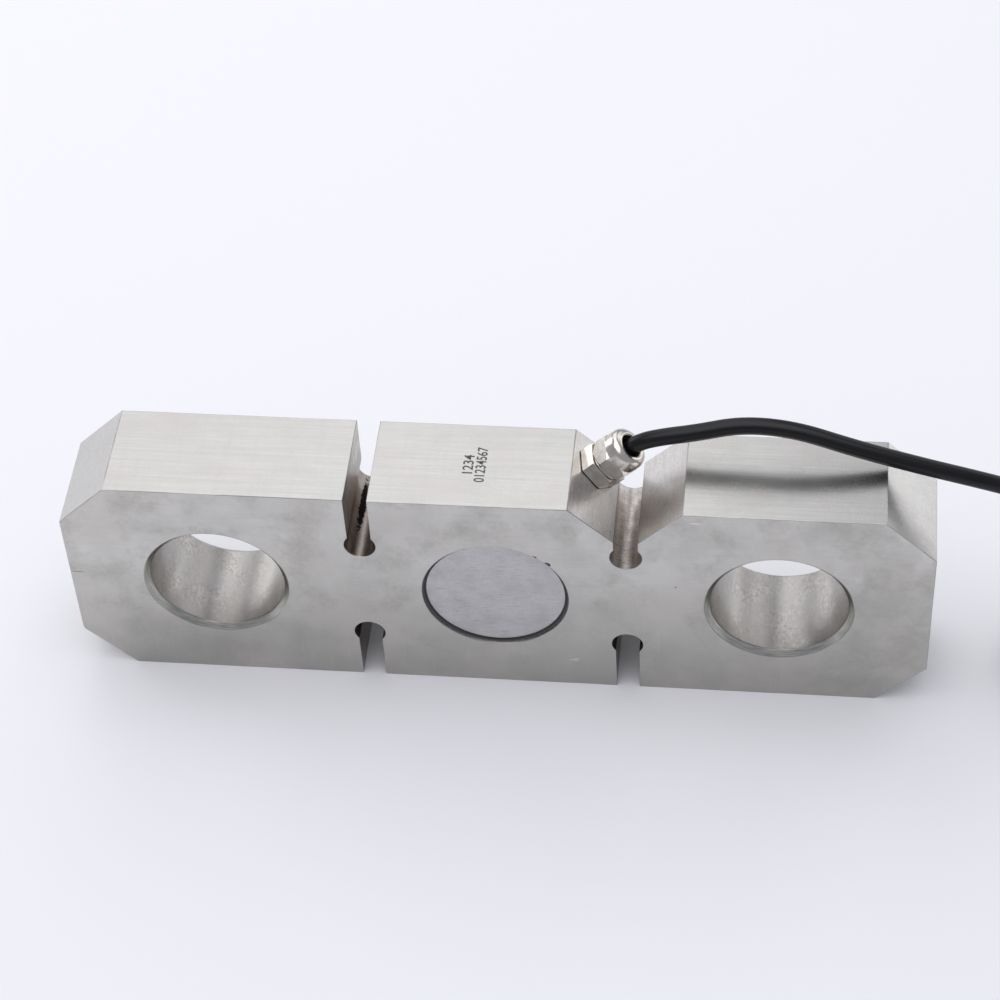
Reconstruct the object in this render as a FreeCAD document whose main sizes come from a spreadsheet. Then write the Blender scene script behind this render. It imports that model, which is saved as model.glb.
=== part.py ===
# Tension link load cell: a ground steel plate with two pin bores, keyhole slots that leave a
# measuring section between them, strain gauges on its web under round covers, and a gland
# whose cable ends in stripped leads. X runs along the link, Y through it, Z up, millimetres.
import FreeCAD, Part
import Sketcher
import math
import os

os.makedirs("parts", exist_ok=True)
doc = FreeCAD.newDocument("tension_link")
sheet = doc.addObject("Spreadsheet::Sheet", "Sizes")

DRIVING = {
    # Element block, which stands on its long narrow edge
    "block_length": 278.0,
    "block_height": 85.0,
    "block_depth": 35.0,
    "corner_facet": 16.2,
    "bore_diameter": 44.0,
    "bore_spacing": 181.8,
    "bore_chamfer": 1.8,
    "slot_spacing": 84.6,
    "slot_width": 7.5,
    "keyhole_diameter": 10.1,
    "keyhole_depth": 21.3,
    "notch_width": 35.8,
    "mouth_round": 0.9,
    "corner_round": 3.0,
    # Gauge pockets, covers and their seals
    "recess_diameter": 47.3,
    "pocket_diameter": 40.0,
    "web_thickness": 8.0,
    "cover_sink": 1.3,
    "cover_thickness": 2.0,
    "cover_gap": 1.0,
    "cover_edge": 0.25,
    "bead_drop": 1.05,
    # Port and wire holes
    "port_offset": 7.3,
    "port_depth": 9.0,
    "wire_hole_diameter": 5.0,
    "jumper_hole_diameter": 4.0,
    "jumper_x": 12.5,
    "jumper_z": 11.5,
    # Gauges, boards and resistors on the web
    "gauge_length": 9.0,
    "gauge_height": 7.0,
    "gauge_film": 0.2,
    "gauge_spacing": 13.0,
    "gauge_wire": 0.4,
    "gauge_wire_pitch": 4.0,
    "board_length": 18.0,
    "board_height": 6.0,
    "board_thickness": 1.0,
    "board_rise": 13.0,
    "strip_length": 20.0,
    "strip_height": 4.6,
    "resistor_diameter": 1.5,
    "resistor_length": 4.0,
    "resistor_pitch": 5.0,
    "resistor_shift": 1.0,
    "jumper_wire": 0.8,
    "jumper_pitch": 1.0,
    "jumper_reach": 5.2,
    "core_diameter": 1.1,
    "core_pitch": 1.3,
    "core_row": 1.6,
    "core_landing": 0.8,
    "core_spread": 3.8,
    "core_run": 3.5,
    "core_margin": 1.5,
    # Cable gland, sizes along its own axis from the notch flank
    "thread_diameter": 12.0,
    "thread_clearance": 0.05,
    "stem_length": 8.0,
    "gasket_thickness": 0.25,
    "gasket_width": 0.7,
    "gland_flats": 13.8,
    "gland_body_angle": 41.6,
    "gland_cap_angle": 51.0,
    "hex_height": 5.15,
    "hex_chamfer": 0.4,
    "cap_gap": 0.25,
    "cap_collar": 0.45,
    "cap_taper": 1.3,
    "cap_hex_height": 5.5,
    "cap_shoulder": 0.9,
    "dome_diameter": 14.0,
    "dome_height": 4.9,
    "dome_fillet": 2.4,
    "mouth_diameter": 7.6,
    "mouth_lip": 0.7,
    "neck_diameter": 11.2,
    "neck_height": 5.2,
    "neck_wall": 0.9,
    "stem_bore": 6.8,
    "claw_slit": 0.6,
    "claw_height": 2.3,
    "insert_recess": 1.5,
    "fit_gap": 0.1,
    # Cable, its tied hank and its stripped end
    "cable_diameter": 5.5,
    "cable_entry": 0.5,
    "cable_bend": 11.2,
    "turn_pitch": 5.6,
    "hank_layers": 4.0,
    "fold_radius": 16.5,
    "hank_run": 106.0,
    "hank_start": 167.5,
    "hank_bevel": 1.6,
    "tie_thickness": 1.0,
    "tie_width": 5.0,
    "tie_squeeze": 0.6,
    "lead_diameter": 1.3,
    "tip_diameter": 0.7,
    "tip_length": 6.0,
    "drain_diameter": 1.0,
}

DERIVED = {
    "half_length": "block_length / 2",
    "half_height": "block_height / 2",
    "half_depth": "block_depth / 2",
    "facet_x": "block_length / 2 - corner_facet",
    "facet_z": "block_height / 2 - corner_facet",
    "bore_x": "bore_spacing / 2",
    "bore_radius": "bore_diameter / 2",
    "slot_x": "slot_spacing / 2",
    "slot_near": "slot_spacing / 2 - slot_width / 2",
    "slot_far": "slot_spacing / 2 + slot_width / 2",
    "keyhole_radius": "keyhole_diameter / 2",
    "keyhole_z": "block_height / 2 - keyhole_depth",
    "notch_left": "slot_spacing / 2 - notch_width / 2",
    "notch_right": "slot_spacing / 2 + notch_width / 2",
    "notch_floor": "block_height / 2 - (notch_width - slot_width) / 2",
    "recess_radius": "recess_diameter / 2",
    "recess_depth": "cover_sink + cover_thickness",
    "pocket_radius": "pocket_diameter / 2",
    "pocket_depth": "(block_depth - web_thickness) / 2",
    "half_web": "web_thickness / 2",
    "cover_radius": "recess_diameter / 2 - cover_gap",
    "cover_rim": "recess_diameter / 2 - cover_gap - cover_edge",
    "cover_bevel": "cover_sink + cover_edge",
    "port_x": "(slot_spacing - notch_width / 2 - slot_width / 2) / 2",
    "port_rise": "block_height / 2 - (notch_width - slot_width) / 4",
    "port_height": "block_height - (notch_width - slot_width) / 4",
    "port_radius": "thread_diameter / 2 + thread_clearance",
    "port_run": "block_height / 2",
    "wire_hole_radius": "wire_hole_diameter / 2",
    "jumper_hole_radius": "jumper_hole_diameter / 2",
    "gauge_low": "block_height / 2 - gauge_height / 2",
    "gauge_top": "block_height / 2 + gauge_height / 2",
    "board_low": "block_height / 2 + board_rise - board_height / 2",
    "board_top": "block_height / 2 + board_rise + board_height / 2",
    "strip_low": "block_height / 2 + jumper_z - strip_height / 2",
    "thread_radius": "thread_diameter / 2",
    "gasket_radius": "thread_diameter / 2 + gasket_width",
    "hex_radius": "gland_flats / sqrt(3)",
    "hex_rim": "gland_flats / sqrt(3) - hex_chamfer",
    "hex_low": "gasket_thickness + hex_chamfer / 2",
    "hex_top": "gasket_thickness + hex_height",
    "hex_shoulder": "gasket_thickness + hex_height - hex_chamfer / 2",
    "flat_radius": "gland_flats / 2",
    "neck_radius": "neck_diameter / 2",
    "neck_top": "gasket_thickness + hex_height + neck_height",
    "neck_bore": "neck_diameter / 2 - neck_wall",
    "stem_bore_radius": "stem_bore / 2",
    "cap_low": "gasket_thickness + hex_height + cap_gap",
    "cap_collar_top": "gasket_thickness + hex_height + cap_gap + cap_collar",
    "cap_full": "gasket_thickness + hex_height + cap_gap + cap_collar + cap_taper",
    "cap_hex_top": "gasket_thickness + hex_height + cap_gap + cap_hex_height",
    "cap_full_top": "gasket_thickness + hex_height + cap_gap + cap_hex_height - cap_shoulder",
    "cap_top": "gasket_thickness + hex_height + cap_gap + cap_hex_height + dome_height",
    "cap_bore": "neck_diameter / 2 + fit_gap",
    "cap_thread_top": "gasket_thickness + hex_height + neck_height + 4 * fit_gap",
    "dome_radius": "dome_diameter / 2",
    "mouth_radius": "mouth_diameter / 2",
    "mouth_low": "gasket_thickness + hex_height + cap_gap + cap_hex_height + dome_height / 2",
    "cable_radius": "cable_diameter / 2",
    "insert_bore": "cable_diameter / 2 + fit_gap / 2",
    "insert_flare": "cable_diameter / 2 + 8 * fit_gap",
    "insert_grip_top": "gasket_thickness + hex_height + neck_height / 2",
    "insert_radius": "neck_diameter / 2 - neck_wall - fit_gap",
    "insert_nose": "mouth_diameter / 2 - fit_gap",
    "insert_low": "gasket_thickness + hex_height / 2 + fit_gap",
    "insert_shoulder": "gasket_thickness + hex_height + neck_height",
    "insert_nose_low": "gasket_thickness + hex_height + cap_gap + cap_hex_height + dome_height / 2 - fit_gap",
    "insert_top": "gasket_thickness + hex_height + cap_gap + cap_hex_height + dome_height - insert_recess",
    "cavity_low": "gasket_thickness + hex_height / 2",
    "claw_low": "gasket_thickness + hex_height + neck_height + fit_gap",
    "claw_step": "gasket_thickness + hex_height + neck_height + 4 * fit_gap",
    "claw_top": "gasket_thickness + hex_height + neck_height + fit_gap + claw_height",
    "claw_nose": "mouth_diameter / 2 + 2 * fit_gap",
    "claw_inner_nose": "mouth_diameter / 2 + fit_gap",
    "claw_slit_half": "claw_slit / 2",
    "claw_slit_depth": "claw_height - 3 * fit_gap",
    "hank_inner": "fold_radius - cable_diameter / 2",
    "hank_outer": "fold_radius + turn_pitch + cable_diameter / 2",
    "hank_height": "(hank_layers - 1) * turn_pitch + cable_diameter",
    "hank_top": "tie_thickness + (hank_layers - 1) * turn_pitch + cable_diameter",
    "hank_left": "hank_start + fold_radius + turn_pitch + cable_diameter / 2",
    "hank_right": "hank_start + fold_radius + turn_pitch + cable_diameter / 2 + hank_run",
    "hank_middle": "hank_start + fold_radius + turn_pitch + cable_diameter / 2 + hank_run / 2",
    "tie_left": "hank_start + fold_radius + turn_pitch + cable_diameter / 2 + hank_run / 2 - tie_width / 2",
    "tie_right": "hank_start + fold_radius + turn_pitch + cable_diameter / 2 + hank_run / 2 + tie_width / 2",
    "tie_inner": "fold_radius - cable_diameter / 2 - tie_squeeze",
    "tie_window": "fold_radius - cable_diameter / 2 - tie_squeeze - tie_thickness",
    "tie_outer": "fold_radius + turn_pitch + cable_diameter / 2 - tie_thickness",
    "tie_top": "2 * tie_thickness + (hank_layers - 1) * turn_pitch + cable_diameter",
}

# The cable's route after the two points on the gland's axis, in the order it runs
CABLE_ROUTE = (
    (45.5, 7.4, 90.3),
    (52.9, 7.5, 92.9),
    (63.0, 8.0, 94.8),
    (77.0, 9.9, 98.1),
    (93.5, 8.9, 97.9),
    (112.0, 6.5, 93.5),
    (133.0, 5.9, 87.9),
    (155.0, 6.8, 80.6),
    (176.0, 8.8, 71.8),
    (196.0, 10.6, 60.5),
    (216.0, 12.9, 47.5),
    (236.0, 14.9, 36.5),
    (257.0, 16.2, 29.2),
    (280.0, 16.5, 26.15),
)
TAIL_ROUTE = (
    (206.0, 11.0, 2.75),
    (222.0, 10.4, 2.75),
    (238.0, 6.8, 2.75),
    (253.0, 3.6, 2.75),
)
# Where each stripped lead lies, from the cut end of the jacket to its tinned tip
LEAD_ROUTES = {
    "lead_red": ((253.8, 4.7, 3.5), (264.0, 7.0, 0.65), (285.0, 10.4, 0.65)),
    "lead_green": ((253.4, 3.3, 4.0), (265.0, 3.8, 0.65), (289.0, 3.4, 0.65)),
    "lead_white": ((253.4, 4.3, 1.8), (264.0, 0.6, 0.65), (287.0, -2.4, 0.65)),
    "lead_black": ((253.2, 2.5, 2.6), (262.0, -2.2, 0.65), (283.0, -7.6, 0.65)),
}
DRAIN_ROUTE = ((253.2, 2.7, 1.1), (260.0, -4.4, 0.5), (276.0, -11.2, 0.5))

ROW = 1
for name, number in DRIVING.items():
    sheet.set(f"A{ROW}", name)
    sheet.set(f"B{ROW}", str(number))
    sheet.setAlias(f"B{ROW}", name)
    ROW += 1
for name, formula in DERIVED.items():
    sheet.set(f"A{ROW}", name)
    sheet.set(f"B{ROW}", "=" + formula)
    sheet.setAlias(f"B{ROW}", name)
    ROW += 1
doc.recompute()


def size(term):
    """A size from the sheet by its alias, with a leading minus for its negative."""
    return -float(sheet.get(term[1:])) if term.startswith("-") else float(sheet.get(term))


def link(term):
    """The expression that binds a property to a size."""
    return "-Sizes." + term[1:] if term.startswith("-") else "Sizes." + term


def bind(thing, **terms):
    """Binds properties of an object to sizes; a double underscore stands for a dot."""
    for path, term in terms.items():
        thing.setExpression(path.replace("__", "."), link(term))


def place(thing, x="", y="", z="", axis=(0, 0, 1), angle=0.0):
    """Sets a piece's rotation and binds where it stands."""
    thing.Placement = FreeCAD.Placement(
        FreeCAD.Vector(0, 0, 0), FreeCAD.Rotation(FreeCAD.Vector(*axis), angle)
    )
    for letter, term in (("x", x), ("y", y), ("z", z)):
        if term:
            thing.setExpression("Placement.Base." + letter, link(term))


# Sketches


def new_body(label):
    body = doc.addObject("PartDesign::Body", label)
    body.Label = label
    return body


def new_sketch(body, name, plane="XZ_Plane", lift=""):
    """A sketch on one of the body's origin planes, lifted along its normal by a size."""
    sketch = body.newObject("Sketcher::SketchObject", name)
    face = next(item for item in body.Origin.OriginFeatures if item.Role == plane)
    sketch.AttachmentSupport = [(face, "")]
    sketch.MapMode = "FlatFace"
    if lift:
        sketch.setExpression("AttachmentOffset.Base.z", link(lift))
    return sketch


def pin(sketch, geometry, point, x, y):
    """Ties one point of a sketch to sizes, or to an axis where the term is 0."""
    for kind, term, axis in (("DistanceX", x, -2), ("DistanceY", y, -1)):
        if term == "0":
            sketch.addConstraint(Sketcher.Constraint("PointOnObject", geometry, point, axis))
            continue
        index = sketch.addConstraint(
            Sketcher.Constraint(kind, -1, 1, geometry, point, size(term))
        )
        sketch.setExpression(f"Constraints[{index}]", link(term))


def number(term):
    return 0.0 if term == "0" else size(term)


def polygon(sketch, corners):
    """A closed outline whose corners are pairs of sizes."""
    first = sketch.GeometryCount
    spots = [FreeCAD.Vector(number(x), number(y), 0) for x, y in corners]
    count = len(spots)
    for i in range(count):
        sketch.addGeometry(Part.LineSegment(spots[i], spots[(i + 1) % count]), False)
    for i in range(count):
        sketch.addConstraint(
            Sketcher.Constraint("Coincident", first + i, 2, first + (i + 1) % count, 1)
        )
    for i, (x, y) in enumerate(corners):
        pin(sketch, first + i, 1, x, y)


def circle(sketch, x, y, radius):
    centre = FreeCAD.Vector(number(x), number(y), 0)
    shape = Part.Circle(centre, FreeCAD.Vector(0, 0, 1), size(radius))
    index = sketch.addGeometry(shape, False)
    pin(sketch, index, 3, x, y)
    radius_index = sketch.addConstraint(Sketcher.Constraint("Radius", index, size(radius)))
    sketch.setExpression(f"Constraints[{radius_index}]", link(radius))


def hexagon(sketch, radius, angle):
    """A regular hexagon about the origin, its first corner turned by an angle."""
    reach = size(radius)
    turn = math.radians(size(angle))
    first = sketch.GeometryCount
    spots = [
        FreeCAD.Vector(reach * math.cos(turn + i * math.pi / 3), reach * math.sin(turn + i * math.pi / 3), 0)
        for i in range(6)
    ]
    for i in range(6):
        sketch.addGeometry(Part.LineSegment(spots[i], spots[(i + 1) % 6]), False)
    rim = sketch.addGeometry(Part.Circle(FreeCAD.Vector(), FreeCAD.Vector(0, 0, 1), reach), True)
    arm = sketch.addGeometry(Part.LineSegment(FreeCAD.Vector(), spots[0]), True)
    sketch.addConstraint(Sketcher.Constraint("Coincident", rim, 3, -1, 1))
    sketch.addConstraint(Sketcher.Constraint("Coincident", arm, 1, -1, 1))
    sketch.addConstraint(Sketcher.Constraint("Coincident", arm, 2, first, 1))
    for i in range(6):
        sketch.addConstraint(Sketcher.Constraint("Coincident", first + i, 2, first + (i + 1) % 6, 1))
        sketch.addConstraint(Sketcher.Constraint("PointOnObject", first + i, 1, rim))
    for i in range(5):
        sketch.addConstraint(Sketcher.Constraint("Equal", first, first + i + 1))
    radius_index = sketch.addConstraint(Sketcher.Constraint("Radius", rim, reach))
    sketch.setExpression(f"Constraints[{radius_index}]", link(radius))
    angle_index = sketch.addConstraint(Sketcher.Constraint("Angle", -1, 1, arm, 1, turn))
    sketch.setExpression(f"Constraints[{angle_index}]", link(angle) + " * 1deg")


def stadium(sketch, left, right, radius):
    """A slot-shaped outline along X, its round ends centred at left and right."""
    reach = size(radius)
    low_x, high_x = size(left), size(right)
    up = FreeCAD.Vector(0, 0, 1)
    first = sketch.GeometryCount
    quarter = math.pi / 2
    sketch.addGeometry(
        Part.ArcOfCircle(Part.Circle(FreeCAD.Vector(high_x, 0, 0), up, reach), -quarter, quarter), False
    )
    sketch.addGeometry(
        Part.LineSegment(FreeCAD.Vector(high_x, reach, 0), FreeCAD.Vector(low_x, reach, 0)), False
    )
    sketch.addGeometry(
        Part.ArcOfCircle(Part.Circle(FreeCAD.Vector(low_x, 0, 0), up, reach), quarter, 3 * quarter), False
    )
    sketch.addGeometry(
        Part.LineSegment(FreeCAD.Vector(low_x, -reach, 0), FreeCAD.Vector(high_x, -reach, 0)), False
    )
    for i, (end, start) in enumerate(((2, 1), (2, 1), (2, 1), (2, 1))):
        sketch.addConstraint(
            Sketcher.Constraint("Tangent", first + i, end, first + (i + 1) % 4, start)
        )
    pin(sketch, first, 3, right, "0")
    pin(sketch, first + 2, 3, left, "0")
    index = sketch.addConstraint(Sketcher.Constraint("Radius", first, reach))
    sketch.setExpression(f"Constraints[{index}]", link(radius))


# Features


def pad(body, sketch, length, symmetric=False):
    feature = body.newObject("PartDesign::Pad", sketch.Name + "_pad")
    feature.Profile = sketch
    feature.SideType = "Symmetric" if symmetric else "One side"
    bind(feature, Length=length)
    doc.recompute()
    return feature


def cut(body, sketch, length="", reverse=False):
    """A pocket to a depth, or right through both ways where no depth is given."""
    before = body.Shape.Volume
    feature = body.newObject("PartDesign::Pocket", sketch.Name + "_cut")
    feature.Profile = sketch
    if length:
        feature.Type = "Length"
        feature.Reversed = reverse
        bind(feature, Length=length)
    else:
        feature.Type = "ThroughAll"
        feature.SideType = "Symmetric"
    doc.recompute()
    if not feature.Shape.Volume < before:
        raise RuntimeError(feature.Name + " cuts nothing")
    return feature


def mirror(body, features, plane):
    before = body.Shape.Volume
    feature = body.newObject("PartDesign::Mirrored", features[0].Name + "_mirror")
    feature.Originals = features
    face = next(item for item in body.Origin.OriginFeatures if item.Role == plane)
    feature.MirrorPlane = (face, [""])
    body.Tip = feature
    doc.recompute()
    if not feature.Shape.Volume < before:
        raise RuntimeError(feature.Name + " cuts nothing")
    return feature


def turn(body, corners, name):
    """A solid of revolution about Z from a half outline of (radius, height) pairs."""
    sketch = new_sketch(body, name)
    polygon(sketch, corners)
    feature = body.newObject("PartDesign::Revolution", name + "_turned")
    feature.Profile = sketch
    feature.ReferenceAxis = (sketch, ["V_Axis"])
    feature.Angle = 360.0
    doc.recompute()
    return feature


def ring_edges(shape, radius, height, axis="z"):
    """Names of the full circles of a radius at a height along an axis."""
    names = []
    for i, edge in enumerate(shape.Edges, 1):
        if not isinstance(edge.Curve, Part.Circle):
            continue
        centre = edge.Curve.Center
        if abs(edge.Curve.Radius - radius) < 1e-4 and abs(getattr(centre, axis) - height) < 1e-4:
            names.append(f"Edge{i}")
    return names


def cross_edges(shape, corners):
    """Names of the straight edges along Y that stand at given (x, z) corners."""
    names = []
    for i, edge in enumerate(shape.Edges, 1):
        start, end = edge.firstVertex().Point, edge.lastVertex().Point
        along_y = abs(start.x - end.x) < 1e-6 and abs(start.z - end.z) < 1e-6
        if along_y and any(abs(start.x - x) < 1e-4 and abs(start.z - z) < 1e-4 for x, z in corners):
            names.append(f"Edge{i}")
    return names


def dress(body, kind, base, edges, amount):
    """A fillet or a chamfer on named edges of the last feature."""
    if not edges:
        raise RuntimeError(base.Name + " has no such edge")
    feature = body.newObject("PartDesign::" + kind, f"{base.Name}_{kind.lower()}")
    feature.Base = (base, edges)
    bind(feature, **{"Radius" if kind == "Fillet" else "Size": amount})
    doc.recompute()
    return feature


def box(label, long, deep, high):
    piece = doc.addObject("Part::Box", label)
    bind(piece, Length=long, Width=deep, Height=high)
    return piece


def flank_hole(body, name, radius, run):
    """A round hole that goes square into the notch flank at the port."""
    before = body.Shape.Volume
    feature = body.newObject("PartDesign::SubtractiveCylinder", name)
    bind(feature, Radius=radius, Height=run)
    place(feature, "port_x", "port_offset", "port_rise", (0, 1, 0), 225.0)
    doc.recompute()
    if not feature.Shape.Volume < before:
        raise RuntimeError(name + " cuts nothing")
    return feature


# Cords and wires


def routed(points, diameter, ratio=0.45):
    """A round wire along straight runs joined by tangent arcs, and its radii."""
    spots = [FreeCAD.Vector(*point) for point in points]
    edges = []
    radii = []
    start = spots[0]
    for before, corner, after in zip(spots, spots[1:], spots[2:]):
        back = (before - corner).normalize()
        ahead = (after - corner).normalize()
        half_turn = (math.pi - back.getAngle(ahead)) / 2
        reach = ratio * min((before - corner).Length, (after - corner).Length)
        radius = reach / math.tan(half_turn)
        radii.append(radius)
        first = corner + back * reach
        last = corner + ahead * reach
        middle_way = (back + ahead).normalize()
        middle = corner + middle_way * (radius / math.cos(half_turn) - radius)
        edges.append(Part.LineSegment(start, first).toShape())
        edges.append(Part.Arc(first, middle, last).toShape())
        start = last
    edges.append(Part.LineSegment(start, spots[-1]).toShape())
    path = Part.Wire(edges)
    section = Part.Wire(Part.Circle(spots[0], spots[1] - spots[0], diameter / 2).toShape())
    tube = path.makePipeShell([section], True, False)
    full = math.pi * diameter**2 / 4 * path.Length
    if abs(tube.Volume / full - 1) > 0.002:
        raise RuntimeError("a routed wire's volume differs from its section times its length")
    return tube, path.Length, radii


def mitred(points, diameter):
    """A round wire of straight runs with mitred corners."""
    spots = [FreeCAD.Vector(*point) for point in points]
    section = Part.Wire(Part.Circle(spots[0], spots[1] - spots[0], diameter / 2).toShape())
    return Part.makePolygon(spots).makePipeShell([section], True, False, 1)


def wire_piece(label, shape):
    piece = doc.addObject("Part::Feature", label)
    piece.Label = label
    piece.Shape = shape
    piece.Placement = FreeCAD.Placement()
    return piece


def on_gland_axis(along, aside=0.0, across=0.0):
    """A point by its distance out along the gland's axis, down the flank and in Y."""
    slope = math.sqrt(0.5)
    return (
        size("port_x") + slope * (along + aside),
        size("port_offset") + across,
        size("port_height") + slope * (along - aside),
    )


# Element block


def element_block():
    body = new_body("element_block")
    outline = new_sketch(body, "outline")
    polygon(
        outline,
        (
            ("-facet_x", "half_height"),
            ("facet_x", "half_height"),
            ("half_length", "facet_z"),
            ("half_length", "-facet_z"),
            ("facet_x", "-half_height"),
            ("-facet_x", "-half_height"),
            ("-half_length", "-facet_z"),
            ("-half_length", "facet_z"),
        ),
    )
    pad(body, outline, "block_depth", symmetric=True)

    slots = new_sketch(body, "slots")
    for edge, end in (("half_height", "keyhole_z"), ("-half_height", "-keyhole_z")):
        polygon(slots, (("-slot_far", edge), ("-slot_near", edge), ("-slot_near", end), ("-slot_far", end)))
    slots_cut = cut(body, slots)
    keyholes = new_sketch(body, "keyholes")
    for height in ("keyhole_z", "-keyhole_z"):
        circle(keyholes, "-slot_x", height, "keyhole_radius")
    keyholes_cut = cut(body, keyholes)
    mirror(body, [slots_cut, keyholes_cut], "YZ_Plane")

    notch = new_sketch(body, "notch")
    polygon(
        notch,
        (
            ("notch_left", "half_height"),
            ("notch_right", "half_height"),
            ("slot_far", "notch_floor"),
            ("slot_near", "notch_floor"),
        ),
    )
    cut(body, notch)

    bores = new_sketch(body, "pin_bores")
    for centre in ("-bore_x", "bore_x"):
        circle(bores, centre, "0", "bore_radius")
    bores_cut = cut(body, bores)
    rims = [
        name
        for side in ("half_depth", "-half_depth")
        for name in ring_edges(bores_cut.Shape, size("bore_radius"), size(side), "y")
    ]
    dress(body, "Chamfer", bores_cut, rims, "bore_chamfer")

    recess = new_sketch(body, "cover_recess", lift="half_depth")
    circle(recess, "0", "0", "recess_radius")
    recess_cut = cut(body, recess, "recess_depth")
    pocket = new_sketch(body, "gauge_pocket", lift="half_depth")
    circle(pocket, "0", "0", "pocket_radius")
    pocket_cut = cut(body, pocket, "pocket_depth")
    mirror(body, [recess_cut, pocket_cut], "XZ_Plane")

    flank_hole(body, "gland_port", "port_radius", "port_depth")
    flank_hole(body, "wire_passage", "wire_hole_radius", "port_run")
    jumper = new_sketch(body, "jumper_hole")
    circle(jumper, "-jumper_x", "jumper_z", "jumper_hole_radius")
    jumper_cut = cut(body, jumper)

    mouths = [(-size("slot_near"), -size("half_height")), (-size("slot_far"), -size("half_height"))]
    rounded = dress(body, "Fillet", jumper_cut, cross_edges(jumper_cut.Shape, mouths), "mouth_round")
    corner = [(-size("half_length"), -size("facet_z"))]
    dress(body, "Fillet", rounded, cross_edges(rounded.Shape, corner), "corner_round")
    place(body, z="half_height")


# Covers, seals and gauges

FACES = {"front": ("-half_depth", 90.0, -1), "rear": ("half_depth", -90.0, 1)}


def covers():
    for side, (face, tilt, _) in FACES.items():
        cover = new_body(side + "_cover")
        turn(
            cover,
            (
                ("0", "-recess_depth"),
                ("cover_radius", "-recess_depth"),
                ("cover_radius", "-cover_bevel"),
                ("cover_rim", "-cover_sink"),
                ("0", "-cover_sink"),
            ),
            side + "_cover_outline",
        )
        seal = new_body(side + "_cover_seal")
        turn(
            seal,
            (
                ("cover_radius", "-recess_depth"),
                ("recess_radius", "-recess_depth"),
                ("recess_radius", "-bead_drop"),
                ("cover_radius", "-cover_bevel"),
            ),
            side + "_seal_outline",
        )
        for piece in (cover, seal):
            place(piece, y=face, z="half_height", axis=(1, 0, 0), angle=tilt)


def gauge_films():
    for side, (_, _, way) in FACES.items():
        for hand, shift in (("left", -1), ("right", 1)):
            film = box(f"gauge_{side}_{hand}", "gauge_length", "gauge_film", "gauge_height")
            film.setExpression(
                "Placement.Base.x", f"{shift} * Sizes.gauge_spacing / 2 - Sizes.gauge_length / 2"
            )
            film.setExpression(
                "Placement.Base.y",
                "Sizes.half_web" if way > 0 else "-Sizes.half_web - Sizes.gauge_film",
            )
            bind(film, Placement__Base__z="gauge_low")


def gauge_wires():
    """Two fine wires from each gauge up to the board or strip above it."""
    for side, (_, _, way) in FACES.items():
        low = "board_low" if way > 0 else "strip_low"
        group = []
        for hand in (-1, 1):
            for wire in (-1, 1):
                thread = doc.addObject("Part::Cylinder", f"{side}_thread")
                thread.setExpression("Radius", "Sizes.gauge_wire / 2")
                thread.setExpression("Height", f"Sizes.{low} - Sizes.gauge_top")
                thread.setExpression(
                    "Placement.Base.x",
                    f"{hand} * Sizes.gauge_spacing / 2 + {wire} * Sizes.gauge_wire_pitch / 2",
                )
                thread.setExpression("Placement.Base.y", f"{way} * (Sizes.half_web + Sizes.gauge_wire / 2)")
                bind(thread, Placement__Base__z="gauge_top")
                group.append(thread)
        bundle = doc.addObject("Part::Compound", f"gauge_wires_{side}")
        bundle.Links = group


def boards():
    board = box("terminal_board", "board_length", "board_thickness", "board_height")
    board.setExpression("Placement.Base.x", "-Sizes.board_length / 2")
    bind(board, Placement__Base__y="half_web", Placement__Base__z="board_low")
    strip = box("front_terminal_strip", "strip_length", "board_thickness", "strip_height")
    strip.setExpression("Placement.Base.x", "-Sizes.strip_length / 2")
    strip.setExpression("Placement.Base.y", "-Sizes.half_web - Sizes.board_thickness")
    bind(strip, Placement__Base__z="strip_low")
    for label, place_in_row in (("zero_balance_resistor", -0.5), ("span_resistor", 0.5)):
        resistor = doc.addObject("Part::Cylinder", label)
        resistor.setExpression("Radius", "Sizes.resistor_diameter / 2")
        bind(resistor, Height="resistor_length")
        place(resistor, axis=(0, 1, 0), angle=90.0)
        resistor.setExpression(
            "Placement.Base.x",
            f"{place_in_row} * Sizes.resistor_pitch - Sizes.resistor_length / 2 - Sizes.resistor_shift",
        )
        resistor.setExpression(
            "Placement.Base.y", "Sizes.half_web + Sizes.board_thickness + Sizes.resistor_diameter / 2"
        )
        resistor.setExpression("Placement.Base.z", "Sizes.board_low + Sizes.resistor_diameter / 2")


def inner_wires():
    """Three jumpers through the web, and the cable's four cores from gland to board."""
    wire = size("jumper_wire")
    front = -size("half_web") - size("board_thickness") - wire / 2
    rear = size("half_web") + size("board_thickness") + wire / 2
    jumpers = []
    for step in (-1, 0, 1):
        height = size("half_height") + size("jumper_z") + step * size("jumper_pitch")
        near = size("jumper_reach") - size("jumper_x")
        corners = (
            (near, front, height),
            (-size("jumper_x"), front, height),
            (-size("jumper_x"), rear, height),
            (near, rear, height),
        )
        jumpers.append(mitred(corners, wire))
    wire_piece("bridge_jumper_wires", Part.makeCompound(jumpers))

    core = size("core_diameter")
    pitch = size("core_pitch") / 2
    rest = size("half_web") + size("board_thickness") + core / 2
    pocket_side = -math.sqrt(2) * (size("port_x") - size("pocket_radius") / 2 - core)
    for label, across, aside in (("red", -1, 1), ("green", -1, -1), ("white", 1, 1), ("black", 1, -1)):
        inlet = on_gland_axis(size("cable_entry"), aside * pitch, across * pitch)
        outlet = on_gland_axis(pocket_side, aside * pitch, across * pitch)
        height = size("board_top") - size("core_margin") - (1 + aside) * size("core_row") / 2
        level = rest + (1 + across) * size("core_row") / 2
        landing = size("core_landing") - across * size("core_spread")
        approach = (landing + size("core_run"), level, height)
        wire_piece("inner_wire_" + label, routed((inlet, outlet, approach, (landing, rest, height)), core)[0])


# Cable gland


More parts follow.
